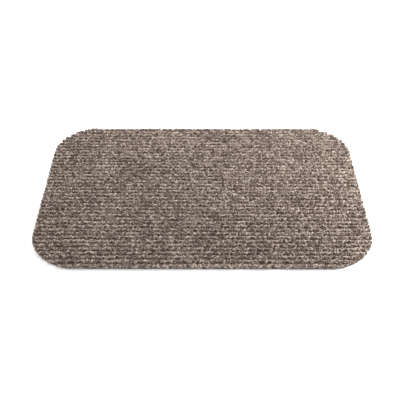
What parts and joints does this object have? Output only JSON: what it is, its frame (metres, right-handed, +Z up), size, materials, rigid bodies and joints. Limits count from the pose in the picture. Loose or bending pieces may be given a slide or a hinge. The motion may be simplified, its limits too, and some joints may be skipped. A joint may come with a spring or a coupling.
{
  "type": "door mat",
  "caption": "Rectangular tufted door mat with round corners: straight ribs of heather yarn on a backing cloth, a latex coat and a non-slip vinyl underside.",
  "frame": {"origin": "on the floor, under the middle of the mat", "axes": "+X along the tufted rows, which is the mat's longer side; +Y across the rows, away from row 1; +Z up"},
  "size_m": [0.6, 0.4, 0.008],
  "materials": {
    "pile_yarn": "heather taupe tufted yarn, dark brown and beige fibres, matt",
    "backing_cloth": "woven flat tape cloth, brown, slight sheen",
    "latex_compound": "dried filled latex, matt",
    "backing_vinyl": "dark grey non-slip vinyl, satin"
  },
  "bodies": {
    "root": {"pile_row_01": "pile_yarn", "pile_row_02": "pile_yarn", "pile_row_03": "pile_yarn", "pile_row_04": "pile_yarn", "pile_row_05": "pile_yarn", "pile_row_06": "pile_yarn", "pile_row_07": "pile_yarn", "pile_row_08": "pile_yarn", "pile_row_09": "pile_yarn", "pile_row_10": "pile_yarn", "pile_row_11": "pile_yarn", "pile_row_12": "pile_yarn", "pile_row_13": "pile_yarn", "pile_row_14": "pile_yarn", "pile_row_15": "pile_yarn", "pile_row_16": "pile_yarn", "pile_row_17": "pile_yarn", "pile_row_18": "pile_yarn", "pile_row_19": "pile_yarn", "pile_row_20": "pile_yarn", "pile_row_21": "pile_yarn", "pile_row_22": "pile_yarn", "pile_row_23": "pile_yarn", "pile_row_24": "pile_yarn", "pile_row_25": "pile_yarn", "pile_row_26": "pile_yarn", "pile_row_27": "pile_yarn", "pile_row_28": "pile_yarn", "pile_row_29": "pile_yarn", "pile_row_30": "pile_yarn", "pile_row_31": "pile_yarn", "pile_row_32": "pile_yarn", "pile_row_33": "pile_yarn", "pile_row_34": "pile_yarn", "pile_row_35": "pile_yarn", "pile_row_36": "pile_yarn", "pile_row_37": "pile_yarn", "pile_row_38": "pile_yarn", "pile_row_39": "pile_yarn", "pile_row_40": "pile_yarn", "pile_row_41": "pile_yarn", "pile_row_42": "pile_yarn", "backing_cloth": "backing_cloth", "latex_coat": "latex_compound", "vinyl_backing": "backing_vinyl"}
  },
  "joints": []
}
